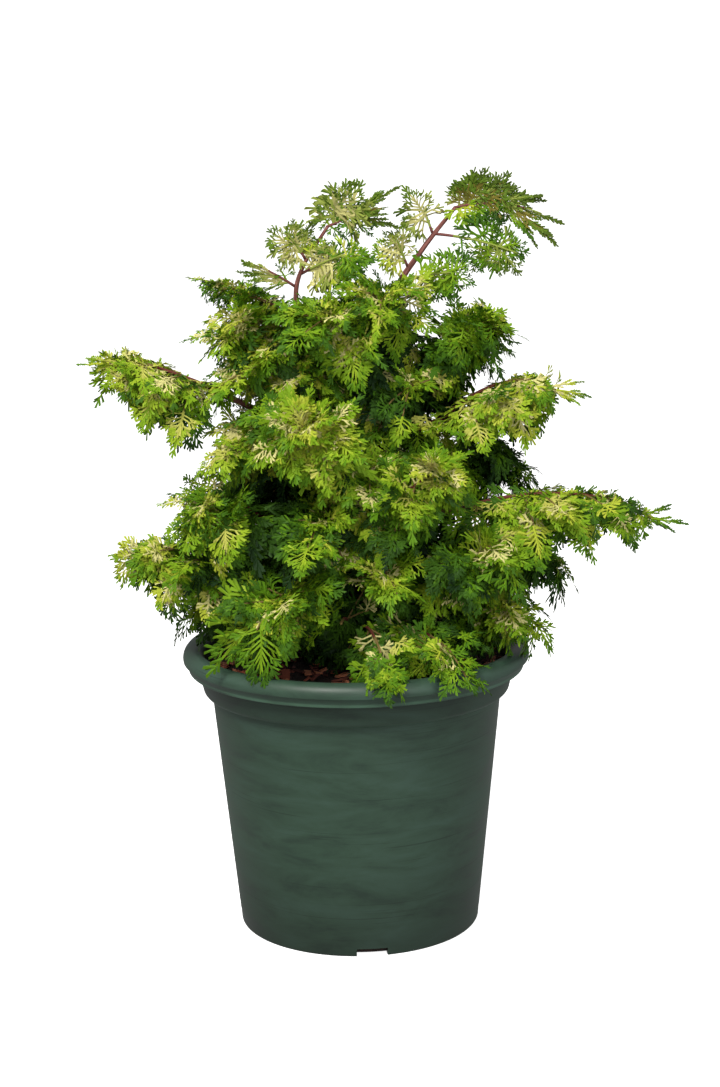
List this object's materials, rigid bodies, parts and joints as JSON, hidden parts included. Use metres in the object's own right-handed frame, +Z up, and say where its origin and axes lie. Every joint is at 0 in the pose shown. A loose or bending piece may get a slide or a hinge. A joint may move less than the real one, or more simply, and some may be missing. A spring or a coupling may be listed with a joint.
{
  "type": "potted dwarf hinoki cypress",
  "caption": "Dwarf hinoki cypress with leaning stems and drooping fan-shaped sprays, cream at the heart and green at the tips, in a round dark green nursery pot.",
  "frame": {"origin": "centre of the pot's flat underside, on the surface it stands on", "axes": "+Z up along the pot's axis, -Y towards the plant's front, +X to the right as the front is seen"},
  "size_m": [0.4648, 0.3346, 0.6289],
  "materials": {
    "pot_plastic": "smooth moulded dark green, low sheen",
    "potting_mix": "loose shredded bark, matt",
    "bark": "thin red-brown bark, matt",
    "foliage": "scale-leaved sprays, soft sheen"
  },
  "bodies": {
    "root": {"pot": "pot_plastic", "potting_soil": "potting_mix", "trunk": "bark", "second_stem": "bark", "front_centre_bough": "bark", "front_upper_bough": "bark", "left_arm_bough": "bark", "left_low_arm_bough": "bark", "low_front_left_bough": "bark", "mid_left_bough": "bark", "right_arm_bough": "bark", "right_low_arm_bough": "bark", "right_mid_bough": "bark", "upper_right_bough": "bark", "back_high_1": "foliage", "back_high_2": "foliage", "back_high_3": "foliage", "back_low_1": "foliage", "back_low_2": "foliage", "back_low_3": "foliage", "back_mid_1": "foliage", "back_mid_2": "foliage", "back_mid_3": "foliage", "centre": "foliage", "centre_right": "foliage", "crown_left": "foliage", "front_left": "foliage", "front_low": "foliage", "front_right": "foliage", "front_upper": "foliage", "leader_left": "foliage", "leader_right": "foliage", "leader_top_left": "foliage", "left_arm": "foliage", "left_crest": "foliage", "left_fan": "foliage", "left_inner_fan": "foliage", "left_low_arm": "foliage", "left_shoulder": "foliage", "left_thin_spray": "foliage", "left_top_spray": "foliage", "low_front": "foliage", "low_front_left": "foliage", "low_left": "foliage", "low_right": "foliage", "mid_left": "foliage", "nodding_spray": "foliage", "right_arm": "foliage", "right_dark": "foliage", "right_low_arm": "foliage", "right_mid": "foliage", "right_skirt": "foliage", "rim_front": "foliage", "rim_front_right": "foliage", "top_spray": "foliage", "upper_front": "foliage", "upper_front_left": "foliage", "upper_left": "foliage", "upper_left_tip": "foliage", "upper_right": "foliage"}
  },
  "joints": []
}
